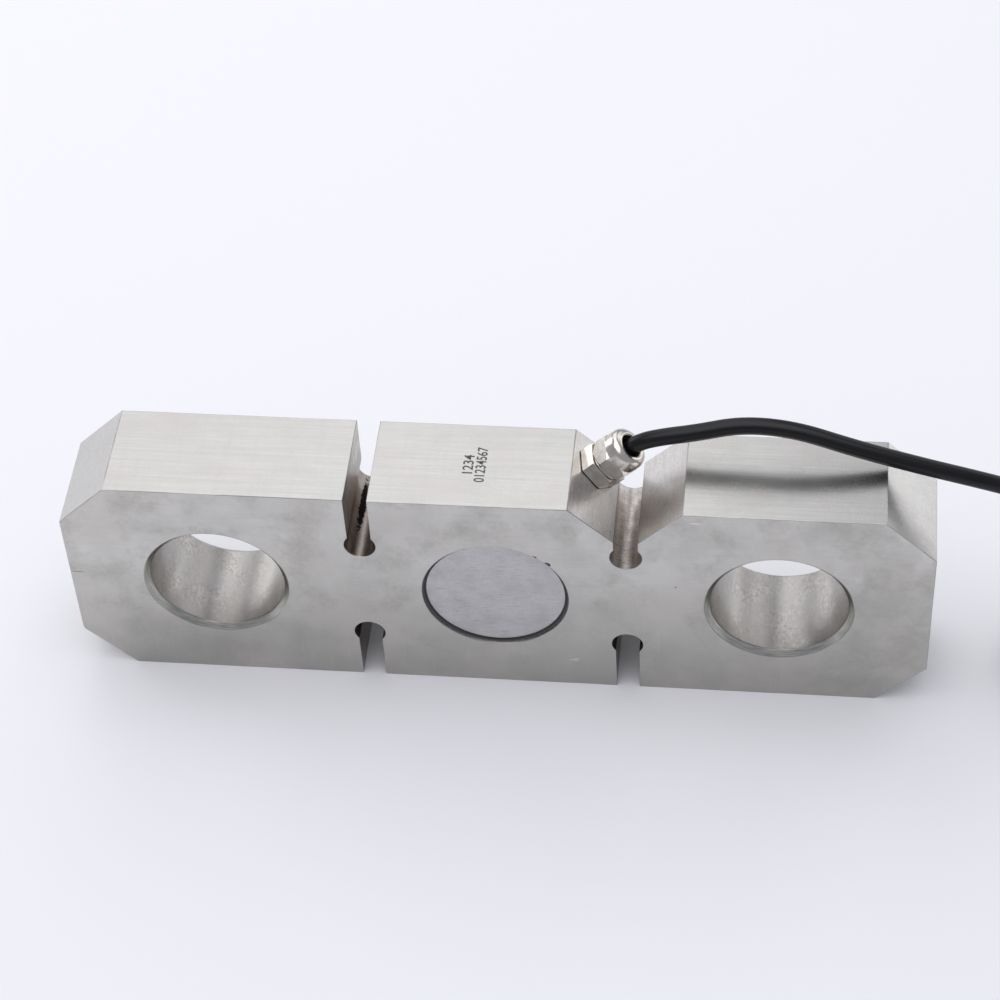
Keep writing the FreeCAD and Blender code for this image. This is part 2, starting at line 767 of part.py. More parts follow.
def seat_on_flank(piece):
    place(piece, "port_x", "port_offset", "port_height", (0, 1, 0), 45.0)


def flats(body, angle, low, high):
    """Mills six flats round a turned piece between two heights."""
    sketch = new_sketch(body, body.Label + "_flats", "XY_Plane", lift=high)
    circle(sketch, "0", "0", "gland_flats")
    hexagon(sketch, "hex_radius", angle)
    before = body.Shape.Volume
    feature = body.newObject("PartDesign::Pocket", body.Label + "_flats_cut")
    feature.Profile = sketch
    feature.Type = "Length"
    feature.setExpression("Length", f"Sizes.{high} - Sizes.{low}")
    doc.recompute()
    if not feature.Shape.Volume < before:
        raise RuntimeError(feature.Name + " cuts nothing")
    return feature


def gland():
    gasket = new_body("gland_gasket")
    sketch = new_sketch(gasket, "gasket_ring", "XY_Plane")
    circle(sketch, "0", "0", "gasket_radius")
    circle(sketch, "0", "0", "port_radius")
    pad(gasket, sketch, "gasket_thickness")
    seat_on_flank(gasket)

    base = new_body("gland_body")
    turn(
        base,
        (
            ("stem_bore_radius", "-stem_length"),
            ("thread_radius", "-stem_length"),
            ("thread_radius", "gasket_thickness"),
            ("hex_rim", "gasket_thickness"),
            ("hex_radius", "hex_low"),
            ("hex_radius", "hex_shoulder"),
            ("hex_rim", "hex_top"),
            ("neck_radius", "hex_top"),
            ("neck_radius", "neck_top"),
            ("neck_bore", "neck_top"),
            ("neck_bore", "cavity_low"),
            ("stem_bore_radius", "cavity_low"),
        ),
        "gland_body_outline",
    )
    flats(base, "gland_body_angle", "gasket_thickness", "hex_top")
    seat_on_flank(base)

    cap = new_body("gland_cap")
    turned = turn(
        cap,
        (
            ("cap_bore", "cap_low"),
            ("flat_radius", "cap_low"),
            ("flat_radius", "cap_collar_top"),
            ("hex_radius", "cap_full"),
            ("hex_radius", "cap_full_top"),
            ("dome_radius", "cap_hex_top"),
            ("dome_radius", "cap_top"),
            ("mouth_radius", "cap_top"),
            ("mouth_radius", "mouth_low"),
            ("cap_bore", "cap_thread_top"),
        ),
        "gland_cap_outline",
    )
    dome = dress(
        cap, "Fillet", turned, ring_edges(turned.Shape, size("dome_radius"), size("cap_top")), "dome_fillet"
    )
    dress(cap, "Fillet", dome, ring_edges(dome.Shape, size("mouth_radius"), size("cap_top")), "mouth_lip")
    flats(cap, "gland_cap_angle", "cap_low", "cap_hex_top")
    seat_on_flank(cap)

    insert = new_body("gland_insert")
    turn(
        insert,
        (
            ("insert_bore", "insert_low"),
            ("insert_radius", "insert_low"),
            ("insert_radius", "insert_shoulder"),
            ("insert_nose", "insert_nose_low"),
            ("insert_nose", "insert_top"),
            ("insert_flare", "insert_top"),
            ("insert_bore", "insert_grip_top"),
        ),
        "gland_insert_outline",
    )
    seat_on_flank(insert)

    claw = new_body("gland_claw")
    turn(
        claw,
        (
            ("neck_bore", "claw_low"),
            ("neck_radius", "claw_low"),
            ("neck_radius", "claw_step"),
            ("claw_nose", "claw_top"),
            ("claw_inner_nose", "claw_top"),
        ),
        "gland_claw_outline",
    )
    slit = new_sketch(claw, "claw_slit_outline", "XY_Plane", lift="claw_top")
    polygon(
        slit,
        (
            ("cable_radius", "-claw_slit_half"),
            ("thread_radius", "-claw_slit_half"),
            ("thread_radius", "claw_slit_half"),
            ("cable_radius", "claw_slit_half"),
        ),
    )
    slit_cut = cut(claw, slit, "claw_slit_depth")
    ring = claw.newObject("PartDesign::PolarPattern", "claw_slits")
    ring.Originals = [slit_cut]
    ring.Axis = (slit, ["N_Axis"])
    ring.Angle = 360.0
    ring.Occurrences = 6
    claw.Tip = ring
    doc.recompute()
    seat_on_flank(claw)


# Cable, hank and stripped end


def cable():
    route = [on_gland_axis(size("cable_entry")), on_gland_axis(size("cable_bend")), *CABLE_ROUTE]
    tube, length, radii = routed(route, size("cable_diameter"))
    wire_piece("cable", tube)
    print("cable", round(length, 1), "radii", [round(radius, 1) for radius in radii])
    tail, length, radii = routed(TAIL_ROUTE, size("cable_diameter"))
    wire_piece("cable_tail", tail)
    print("cable_tail", round(length, 1), "radii", [round(radius, 1) for radius in radii])


def hank():
    body = new_body("cable_hank")
    sketch = new_sketch(body, "hank_outline", "XY_Plane", lift="tie_thickness")
    stadium(sketch, "hank_left", "hank_right", "hank_outer")
    stadium(sketch, "hank_left", "hank_right", "hank_inner")
    ring = pad(body, sketch, "hank_height")
    levels = (size("tie_thickness"), size("hank_top"))
    edges = [
        f"Edge{i}"
        for i, edge in enumerate(ring.Shape.Edges, 1)
        if any(abs(edge.BoundBox.ZMin - z) < 1e-6 and abs(edge.BoundBox.ZMax - z) < 1e-6 for z in levels)
    ]
    dress(body, "Chamfer", ring, edges, "hank_bevel")
    grooves = new_sketch(body, "tie_grooves", "XY_Plane", lift="hank_top")
    for edge, end in (("tie_outer", "hank_outer"), ("-tie_outer", "-hank_outer")):
        polygon(grooves, (("tie_left", edge), ("tie_right", edge), ("tie_right", end), ("tie_left", end)))
    cut(body, grooves, "hank_height")
    for side, sign in (("front", "-"), ("rear", "")):
        tie = new_body(f"hank_tie_{side}")
        section = new_sketch(tie, f"tie_{side}_section", "YZ_Plane", lift="hank_middle")
        inner, window = sign + "tie_inner", sign + "tie_window"
        outer, edge = sign + "tie_outer", sign + "hank_outer"
        polygon(section, ((window, "0"), (edge, "0"), (edge, "tie_top"), (window, "tie_top")))
        polygon(
            section,
            ((inner, "tie_thickness"), (outer, "tie_thickness"), (outer, "hank_top"), (inner, "hank_top")),
        )
        pad(tie, section, "tie_width", symmetric=True)


def leads():
    """Each lead's coloured insulation with its tinned tip, and the twisted drain."""
    for label, route in LEAD_ROUTES.items():
        jacket, _, _ = routed(route, size("lead_diameter"))
        last, before = FreeCAD.Vector(*route[-1]), FreeCAD.Vector(*route[-2])
        tip = Part.makeCylinder(size("tip_diameter") / 2, size("tip_length"), last, last - before)
        wire_piece(label, jacket.fuse(tip))
    wire_piece("shield_drain", routed(DRAIN_ROUTE, size("drain_diameter"))[0])


element_block()
covers()
gauge_films()
gauge_wires()
boards()
inner_wires()
gland()
cable()
hank()
leads()
doc.recompute()

HELPERS = ("_thread",)
pieces = [
    item
    for item in doc.Objects
    if item.TypeId in ("PartDesign::Body", "Part::Box", "Part::Cylinder", "Part::Compound", "Part::Feature")
    and not any(part in item.Label for part in HELPERS)
]
for item in doc.Objects:
    if {"Invalid", "Error"} & set(item.State):
        raise RuntimeError(f"{item.Name} failed: {item.State}")
for piece in pieces:
    if piece.Shape.isNull() or not piece.Shape.isValid():
        raise RuntimeError(piece.Label + " has no valid shape")
for piece in pieces:
    piece.Shape.exportStep(f"parts/{piece.Label}.step")
    print(piece.Label, len(piece.Shape.Solids), round(piece.Shape.Volume, 1))
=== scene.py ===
import math
import random

import bmesh
import bpy
from mathutils import Matrix, Vector


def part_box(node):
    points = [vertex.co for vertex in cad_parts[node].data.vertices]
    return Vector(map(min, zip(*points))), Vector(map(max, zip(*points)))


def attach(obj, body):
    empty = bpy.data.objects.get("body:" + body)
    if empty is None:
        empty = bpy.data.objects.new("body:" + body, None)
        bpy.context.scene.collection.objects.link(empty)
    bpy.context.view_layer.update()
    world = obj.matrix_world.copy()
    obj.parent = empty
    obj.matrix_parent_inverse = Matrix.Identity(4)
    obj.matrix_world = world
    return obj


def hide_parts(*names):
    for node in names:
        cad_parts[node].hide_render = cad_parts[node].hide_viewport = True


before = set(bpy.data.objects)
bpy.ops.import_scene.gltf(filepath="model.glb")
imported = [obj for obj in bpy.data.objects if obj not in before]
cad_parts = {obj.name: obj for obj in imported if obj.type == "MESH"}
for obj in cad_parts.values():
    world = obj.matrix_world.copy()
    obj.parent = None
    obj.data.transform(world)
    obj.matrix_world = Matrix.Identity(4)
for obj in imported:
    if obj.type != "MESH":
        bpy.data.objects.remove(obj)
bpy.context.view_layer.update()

MM = 0.001

# Sizes, in metres. X runs along the link, Y from its front to its rear, Z up.

BLOCK_TOP = 0.085
BORE_PLACE = 0.0909
BORE_HEIGHT = 0.0425
BORE_MOUTH = 0.0245
LID_HEIGHT = 0.0425
SEAL_RIM = 0.0230
SEAL_END = 0.0238
SLOT_PLACE = 0.0423
SLOT_HALF_WIDTH = 0.0045
KEYHOLE_REACH = 0.0055
NOTCH_FOOT = 0.062
NOTCH_HALF_WIDTH = 0.019
LINK_EDGE = 0.00022
LID_EDGE = 0.00012
GLAND_EDGE = 0.00015

# Middles and half sizes of the black smear in the upper left keyhole, the brown
# painted shade in the left slots and the painted shade low in the lower ones.
SMEAR_PLACE = (-0.0445, 0.0040, 0.0592)
SMEAR_REACH = (0.0011, 0.0115, 0.0017)
BROWN_SHADE_PLACE = (-0.0423, 0, 0.060)
BROWN_SHADE_REACH = (0.009, 0.030, 0.020)
LOW_SHADE_PLACE = (0, 0, 0.008)
LOW_SHADE_REACH = (0.090, 0.040, 0.022)

# Dark marks on the front face, as middles and half sizes: two crumbs at the lid's edge,
# a spot and a short line at the left end.
FACE_MARKS = [
    ((0.0129, -0.0175, 0.0622), (0.0014, 0.0010, 0.0006)),
    ((0.0171, -0.0175, 0.0589), (0.0015, 0.0010, 0.0012)),
    ((0.0580, -0.0175, 0.0510), (0.0003, 0.0010, 0.0003)),
    ((-0.1365, -0.0175, 0.0449), (0.0024, 0.0010, 0.00014)),
]
# Soft grey smudges on the front face.
FACE_SMUDGES = [
    ((-0.0935, -0.0175, 0.0105), (0.0200, 0.0100, 0.0080)),
    ((-0.1160, -0.0175, 0.0210), (0.0130, 0.0100, 0.0080)),
    ((-0.0660, -0.0175, 0.0175), (0.0060, 0.0100, 0.0110)),
    ((0.1250, -0.0175, 0.0480), (0.0230, 0.0100, 0.0340)),
    ((0.1332, -0.0175, 0.0270), (0.0100, 0.0100, 0.0140)),
    ((0.1150, -0.0175, 0.0070), (0.0140, 0.0100, 0.0060)),
    ((0.1100, -0.0175, 0.0800), (0.0170, 0.0100, 0.0090)),
]
# Bright scratches on the front face.
FACE_SCRATCHES = [
    ((0.0247, -0.0175, 0.0121), (0.0019, 0.0010, 0.00016)),
    ((0.0255, -0.0175, 0.0128), (0.0010, 0.0010, 0.00014)),
    ((0.0641, -0.0175, 0.0814), (0.0022, 0.0010, 0.0002)),
]

# Laser-marked lines on the top: name, digits, foot of the digits, left end and width.
DIGIT_HEIGHT = 0.0034
MARKINGS = [
    ("marking_upper_line", "1234", -0.0066, -0.0037, 0.0080),
    ("marking_lower_line", "01234567", -0.0026, -0.0072, 0.0150),
]

# The cable's middle line: from inside the gland to the hank, and from the hank to its end.
CABLE_THICKNESS = 0.0055
CABLE_ROUTE = [
    (0.031829, 0.0073, 0.078279),
    (0.039395, 0.0073, 0.085845),
    (0.0455, 0.0074, 0.0912),
    (0.0529, 0.0075, 0.0937),
    (0.0630, 0.0080, 0.0955),
    (0.0770, 0.0099, 0.0981),
    (0.0935, 0.0089, 0.0979),
    (0.1120, 0.0065, 0.0931),
    (0.1330, 0.0059, 0.0870),
    (0.1550, 0.0068, 0.0799),
    (0.1760, 0.0088, 0.0710),
    (0.1960, 0.0106, 0.0605),
    (0.2160, 0.0129, 0.0475),
    (0.2360, 0.0149, 0.0365),
    (0.2570, 0.0162, 0.0292),
    (0.2800, 0.0165, 0.02615),
    (0.2900, 0.0167, 0.0236),
]
TAIL_ROUTE = [
    (0.1960, 0.0142, 0.0031),
    (0.2060, 0.0110, 0.00275),
    (0.2220, 0.0104, 0.00275),
    (0.2380, 0.0068, 0.00275),
    (0.2530, 0.0036, 0.00275),
]

# The hank: the middles of its two round ends, its layers and the two turns in each, how
# far out the ties hold each turn and how far from the middle that pull ends, where a
# turn crosses over to the next one, and how unevenly the turns end.
HANK_ENDS = (0.19235, 0.29835)
HANK_MIDDLE = 0.24535
HANK_LAYERS = (0.02055, 0.01495, 0.00935, 0.00375)
INNER_TURN = 0.0165
OUTER_TURN = 0.0221
INNER_HELD = 0.0158
OUTER_HELD = 0.0211
TURN_STEPS = 8
TURN_CUT = 0.981
TIE_SPREAD = 0.020
CROSSING = (0.010, 0.026, 0.036)
WANDER = 0.0004

TIE_WIDTH = 0.0047
TIE_THICKNESS = 0.0010
TIE_CORNER = 0.0045
TIE_HEAD = (0.0072, 0.0058, 0.0038)
TIE_HEAD_OUT = 0.0005
TIE_HEAD_UP = 0.0011
TIE_SLOT_RIM = 0.0008
TIE_SLOT_DEPTH = 0.0016
TIE_END = (0.0044, 0.0050, 0.0011)
TIE_END_OUT = 0.0032
TIE_END_UP = 0.0002

# The stripped leads, their tinned tips and the shield's drain.
LEAD_THICKNESS = 0.0013
LEAD_ROUTES = {
    "red": [(0.2538, 0.0047, 0.0035), (0.2640, 0.0070, 0.00065), (0.2850, 0.0104, 0.00065)],
    "green": [(0.2534, 0.0033, 0.0040), (0.2650, 0.0038, 0.00065), (0.2890, 0.0034, 0.00065)],
    "white": [(0.2534, 0.0043, 0.0018), (0.2640, 0.0006, 0.00065), (0.2870, -0.0024, 0.00065)],
    "black": [(0.2532, 0.0025, 0.0026), (0.2620, -0.0022, 0.00065), (0.2830, -0.0076, 0.00065)],
}
TIP_THICKNESS = 0.0007
TIP_LENGTH = 0.006
DRAIN_THICKNESS = 0.0010
DRAIN_ROUTE = [(0.2532, 0.0027, 0.0011), (0.2600, -0.0044, 0.0005), (0.2760, -0.0112, 0.0005)]

# The camera, as fitted to the corners and bores in the photograph, with its lens in
# millimetres, and the height at which the lamps aim.
LENS_LENGTH = 104.9
EYE_PLACE = (0.0963, -0.6204, 0.7526)
EYE_RIGHT = (0.9938, 0.1016, -0.0463)
EYE_BACK = (0.1026, -0.6686, 0.7365)
AIM_HEIGHT = 0.04


# Small helpers

def tone(code):
    """Linear colour of a six-digit sRGB hex value."""
    parts = [int(code[i:i + 2], 16) / 255 for i in (0, 2, 4)]
    linear = [c / 12.92 if c <= 0.04045 else ((c + 0.055) / 1.055) ** 2.4 for c in parts]
    return (*linear, 1.0)


def add(tree, kind, links=None, **settings):
    """Adds a node: settings go on the node, links on its sockets by name or number."""
    node = tree.nodes.new(kind)
    for name, value in settings.items():
        setattr(node, name, value)
    for socket, value in (links or {}).items():
        entry = node.inputs[socket]
        if isinstance(value, bpy.types.NodeSocket):
            tree.links.new(value, entry)
        else:
            entry.default_value = value
    return node


def finish(name):
    """An empty material with its node tree and its surface shader."""
    material = bpy.data.materials.new(name)
    material.use_nodes = True
    tree = material.node_tree
    tree.nodes.clear()
    shader = add(tree, "ShaderNodeBsdfPrincipled")
    add(tree, "ShaderNodeOutputMaterial", {"Surface": shader.outputs[0]})
    return material, tree, shader


def place(tree, shift=(0, 0, 0), scale=(1, 1, 1), turn=(0, 0, 0)):
    """Object coordinates, moved, turned and stretched for one pattern."""
    at = add(tree, "ShaderNodeTexCoord")
    return add(
        tree,
        "ShaderNodeMapping",
        {"Vector": at.outputs["Object"], "Location": shift, "Rotation": turn, "Scale": scale},
    ).outputs[0]


def piece(name, shape, *finishes):
    """A mesh object from a bmesh, riding on the root body, with its finishes."""
    mesh = bpy.data.meshes.new(name)
    shape.to_mesh(mesh)
    shape.free()
    thing = bpy.data.objects.new(name, mesh)
    bpy.context.scene.collection.objects.link(thing)
    for one in finishes:
        mesh.materials.append(one)
    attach(thing, "root")
    return thing


# Camera, floor and lamps

def camera():
    """Looks down on the front, from a little right of the middle, as the photograph does."""
    lens = bpy.data.cameras.new("studio_camera")
    lens.lens = LENS_LENGTH
    lens.sensor_width = 36
    lens.clip_end = 20
    eye = bpy.data.objects.new("studio_camera", lens)
    right = Vector(EYE_RIGHT).normalized()
    back = Vector(EYE_BACK)
    back = (back - back.project(right)).normalized()
    axes = Matrix((right, back.cross(right), back)).transposed()
    eye.matrix_world = Matrix.Translation(EYE_PLACE) @ axes.to_4x4()
    bpy.context.scene.collection.objects.link(eye)
    bpy.context.scene.camera = eye


def floor():
    """A wide pale table top."""
    material, _, shader = finish("matt_white_table")
    shader.inputs["Base Color"].default_value = tone("F4F4F6")
    shader.inputs["Roughness"].default_value = 0.8
    shader.inputs["Specular IOR Level"].default_value = 0.1
    shape = bmesh.new()
    bmesh.ops.create_grid(shape, x_segments=1, y_segments=1, size=4)
    mesh = bpy.data.meshes.new("table")
    shape.to_mesh(mesh)
    shape.free()
    mesh.materials.append(material)
    table = bpy.data.objects.new("table", mesh)
    bpy.context.scene.collection.objects.link(table)


def soft_box(name, stand, wide, high, glow):
    """One soft studio lamp of an even glow, aimed at the link."""
    light = bpy.data.lights.new(name, "AREA")
    light.shape = "RECTANGLE"
    light.size = wide
    light.size_y = high
    light.energy = math.pi * wide * high * glow
    lamp = bpy.data.objects.new(name, light)
    lamp.location = stand
    away = Vector(stand) - Vector((0, 0, AIM_HEIGHT))
    lamp.rotation_mode = "QUATERNION"
    lamp.rotation_quaternion = away.to_track_quat("Z", "Y")
    lamp.visible_camera = False
    bpy.context.scene.collection.objects.link(lamp)


def lamps():
    """A dim room, a wide lamp overhead, two behind and a low one each side."""
    world = bpy.data.worlds.new("white_room")
    world.use_nodes = True
    tree = world.node_tree
    tree.nodes.clear()
    room = add(tree, "ShaderNodeBackground", {"Color": tone("F0F2FF"), "Strength": 0.48})
    add(tree, "ShaderNodeOutputWorld", {"Surface": room.outputs[0]})
    bpy.context.scene.world = world
    soft_box("lamp_overhead", stand=(-0.10, -0.15, 1.60), wide=1.6, high=1.8, glow=1.6)
    soft_box("lamp_behind", stand=(-0.36, 1.05, 1.05), wide=0.95, high=1.2, glow=0.86)
    soft_box("lamp_behind_right", stand=(0.75, 1.10, 0.85), wide=0.7, high=0.9, glow=0.8)
    soft_box("lamp_right", stand=(1.25, 0.98, 0.30), wide=0.4, high=0.6, glow=1.25)
    soft_box("lamp_left", stand=(-1.30, 0.70, 0.50), wide=0.8, high=0.9, glow=1.75)


# Cable

def end_turn(middle, first, radius, height, side):
    """Points of one half turn round an end of the hank, from rear to front or back.

    The smooth line cuts the corners between its points, so they stand a little wide.
    """
    reach = radius / TURN_CUT
    points = []
    for step in range(TURN_STEPS + 1):
        angle = first - side * math.pi * step / TURN_STEPS
        points.append((middle + reach * math.cos(angle), reach * math.sin(angle), height))
    return points


def hank_points():
    """Eight turns, from the top layer down, each pulled together where the ties hold it."""
    wander = random.Random(4)
    left, right = HANK_ENDS
    leave, over, down = CROSSING
    points = []
    columns = []
    for number, height in enumerate(HANK_LAYERS):
        pair = (INNER_TURN, OUTER_TURN) if number % 2 == 0 else (OUTER_TURN, INNER_TURN)
        columns += [(radius, height) for radius in pair]
    for number, (radius, height) in enumerate(columns):
        spare = wander.uniform(-WANDER, WANDER)
        held = OUTER_HELD if radius == OUTER_TURN else INNER_HELD
        points += end_turn(right + spare, math.pi / 2, radius, height, 1)
        points.append((HANK_MIDDLE + TIE_SPREAD, -radius, height))
        points.append((HANK_MIDDLE, -held, height))
        points.append((HANK_MIDDLE - TIE_SPREAD, -radius, height))
        points += end_turn(left + spare, -math.pi / 2, radius, height, 1)
        if number == len(columns) - 1:
            break
        points.append((HANK_MIDDLE - TIE_SPREAD, radius, height))
        points.append((HANK_MIDDLE, held, height))
        after, below = columns[number + 1]
        points.append((HANK_MIDDLE + leave, radius, height))
        points.append((HANK_MIDDLE + over, after, height))
        points.append((HANK_MIDDLE + down, after, (height + below) / 2))
    # The tail leaves just before the last half turn is full.
    return points[:-1]


def block(middle, size):
    """A plain box as a bmesh."""
    shape = bmesh.new()
    grown = Matrix.Translation(middle) @ Matrix.Diagonal((*size, 1))
    bmesh.ops.create_cube(shape, size=1, matrix=grown)
    return shape


def soften(thing, width, segments):
    """Rounds the sharp edges of a moulded piece."""
    soft = thing.modifiers.new("soft_edges", "BEVEL")
    soft.width = width
    soft.segments = segments
    soft.angle_limit = math.radians(50)


def tie(name, node, side, nylon):
    """A nylon band pulled round one side of the hank, with its ratchet head on top."""
    low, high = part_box(node)
    middle = (Vector(low) + Vector(high)) / 2
    size = Vector(high) - Vector(low)
    shape = block(middle, (TIE_WIDTH, size.y, size.z))
    ends = [face for face in shape.faces if abs(face.normal.x) > 0.9]
    bmesh.ops.delete(shape, geom=ends, context="FACES_ONLY")
    corners = [edge for edge in shape.edges if len(edge.link_faces) == 2]
    bmesh.ops.bevel(
        shape, geom=corners, affect="EDGES", offset=TIE_CORNER, segments=6,
        profile=0.5, material=-1,
    )
    for face in shape.faces:
        face.smooth = True
    band = piece(name, shape, nylon)
    wall = band.modifiers.new("band_thickness", "SOLIDIFY")
    wall.thickness = TIE_THICKNESS
    wall.use_even_offset = True
    soften(band, 0.2 * MM, 2)
    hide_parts(node)

    stand = Vector((middle.x, middle.y + side * TIE_HEAD_OUT, high.z + TIE_HEAD_UP))
    head = block(stand, TIE_HEAD)
    outer = [face for face in head.faces if face.normal.y * side > 0.9]
    bmesh.ops.inset_region(head, faces=outer, thickness=TIE_SLOT_RIM)
    slot = bmesh.ops.extrude_discrete_faces(head, faces=outer)["faces"]
    bmesh.ops.translate(head, verts=slot[0].verts, vec=(0, -side * TIE_SLOT_DEPTH, 0))
    latch = piece(f"{name}_head", head, nylon)
    soften(latch, 0.4 * MM, 3)

    tail = block(stand + Vector((0, side * TIE_END_OUT, TIE_END_UP)), TIE_END)
    stub = piece(f"{name}_cut_end", tail, nylon)
    return [band, latch, stub]


def wire(name, points, thickness, finish_of_wire, around=4, along=10):
    """One smooth round wire or cable, drawn by the given points."""
    line = bpy.data.curves.new(name, "CURVE")
    line.dimensions = "3D"
    line.bevel_depth = thickness / 2
    line.bevel_resolution = around
    line.resolution_u = along
    line.use_fill_caps = True
    spline = line.splines.new("NURBS")
    spline.points.add(len(points) - 1)
    for point, at in zip(spline.points, points):
        point.co = (*at, 1)
    spline.order_u = 3
    spline.use_endpoint_u = True
    line.materials.append(finish_of_wire)
    thing = bpy.data.objects.new(name, line)
    bpy.context.scene.collection.objects.link(thing)
    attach(thing, "root")
    return thing


def stripped_end(cores, tinned):
    """Four coloured leads with tinned tips, and the shield's bare drain."""
    loose = []
    for colour, route in LEAD_ROUTES.items():
        core = wire(f"{colour}_lead", route, LEAD_THICKNESS, cores[colour])
        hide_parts(f"lead_{colour}")
        end = Vector(route[-1])
        way = (end - Vector(route[-2])).normalized()
        way.z = 0
        bare = [end - way * MM, end + way * TIP_LENGTH / 2, end + way * TIP_LENGTH]
        tip = wire(f"{colour}_lead_tip", bare, TIP_THICKNESS, tinned)
        loose += [core, tip]
    drain = wire("drain_wire", DRAIN_ROUTE, DRAIN_THICKNESS, tinned)
    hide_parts("shield_drain")
    return [*loose, drain]


def cable(jacket):
    """The whole cable: out of the gland, down to the table and wound in its hank."""
    route = CABLE_ROUTE + hank_points() + TAIL_ROUTE
    cord = wire("signal_cable", route, CABLE_THICKNESS, jacket, around=7, along=8)
    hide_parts("cable", "cable_hank", "cable_tail")


# Patterns

def layer(
    tree, below, above, size, span=(0, 1, 0, 1), stretch=(1, 1, 1), shift=(0, 0, 0),
    detail=4,
):
    """Lays a tone over the colours below where uneven grain of one real size runs high.

    The span says where the grain begins and ends to count, and how much of the tone
    shows at each. Gives the new colours and the bare grain.
    """
    grain = add(
        tree, "ShaderNodeTexNoise",
        {
            "Vector": place(tree, shift, stretch), "Scale": 1 / size,
            "Detail": detail, "Roughness": 0.6,
        },
    ).outputs[0]
    low, high, least, most = span
    share = add(
        tree, "ShaderNodeMapRange", {0: grain, 1: low, 2: high, 3: least, 4: most},
    ).outputs[0]
    colour = add(
        tree, "ShaderNodeMix", {0: share, 6: below, 7: above}, data_type="RGBA",
    ).outputs[2]
    return colour, grain


def spot(tree, below, above, centre, reach, ragged, size, most=1.0, soft=0.2):
    """Lays a tone on one ragged spot of the given half sizes. Gives its share too.

    The tone fades out over the soft part of its reach.
    """
    scale = tuple(1 / r for r in reach)
    shift = tuple(-c / r for c, r in zip(centre, reach))
    away = add(
        tree, "ShaderNodeVectorMath", {0: place(tree, shift, scale)}, operation="LENGTH",
    ).outputs["Value"]
    grain = add(
        tree, "ShaderNodeTexNoise",
        {"Vector": place(tree), "Scale": 1 / size, "Detail": 3, "Roughness": 0.6},
    ).outputs[0]
    torn = add(
        tree, "ShaderNodeMath", {0: grain, 1: 4 * ragged, 2: away},
        operation="MULTIPLY_ADD",
    ).outputs[0]
    share = add(
        tree, "ShaderNodeMapRange",
        {0: torn, 1: 1.0 - soft + 2 * ragged, 2: 1.0 + 2 * ragged, 3: most, 4: 0.0},
    ).outputs[0]
    colour = add(
        tree, "ShaderNodeMix", {0: share, 6: below, 7: above}, data_type="RGBA",
    ).outputs[2]
    return colour, share


def surface(tree, shader, colour, metallic, roughness, relief=None):
    """Joins a finish to its shader.

    The roughness is one number, or a pattern with where it begins and ends to count and
    the roughness at each. The relief is a depth in metres, a strength and a pattern, and
    may have a second pattern with its share.
    """
    tree.links.new(colour, shader.inputs["Base Color"])
    shader.inputs["Metallic"].default_value = metallic
    if isinstance(roughness, float):
        shader.inputs["Roughness"].default_value = roughness
    else:
        pattern, low, high, least, most = roughness
        uneven = add(
            tree, "ShaderNodeMapRange", {0: pattern, 1: low, 2: high, 3: least, 4: most},
        )
        tree.links.new(uneven.outputs[0], shader.inputs["Roughness"])
    if relief:
        depth, strength, height, *second = relief
        if second:
            height = add(
                tree, "ShaderNodeMix", {0: second[1], 6: height, 7: second[0]},
                data_type="RGBA",
            ).outputs[2]
        bump = add(
            tree, "ShaderNodeBump",
            {"Strength": strength, "Distance": depth, "Height": height},
        )
        tree.links.new(bump.outputs[0], shader.inputs["Normal"])


# Steel

def ground_flats():
    # Surface-ground stainless steel: pale and satin, with streaks along the link, drawn
    # coarser than the real grit so that they show, and faint warm and greenish clouds.
    material, tree, shader = finish("ground_stainless_flats")
    colour, streaks = layer(
        tree, tone("C0BFBA"), tone("C8C6C2"), 0.9 * MM, (0.35, 0.65, 0, 1),
        stretch=(0.025, 1, 1), detail=3,
    )
    colour, _ = layer(
        tree, colour, tone("B5B4B1"), 2.5 * MM, (0.5, 0.7, 0, 0.15),
        stretch=(1, 0.06, 1), detail=2,
    )
    colour, clouds = layer(
        tree, colour, tone("C1B8B4"), 9 * MM, (0.45, 0.7, 0, 0.4), stretch=(0.6, 1, 1),
    )
    colour, _ = layer(
        tree, colour, tone("B6B9B3"), 13 * MM, (0.5, 0.75, 0, 0.35), shift=(2, 1, 0),
        detail=3,
    )
    colour, _ = layer(
        tree, colour, tone("A5A3A0"), 1.3 * MM, (0.55, 0.72, 0, 0.1), detail=5,
    )
    surface(
        tree, shader, colour, 1.0, (clouds, 0.35, 0.65, 0.25, 0.29),
        (0.003 * MM, 0.4, streaks),
    )
    return material


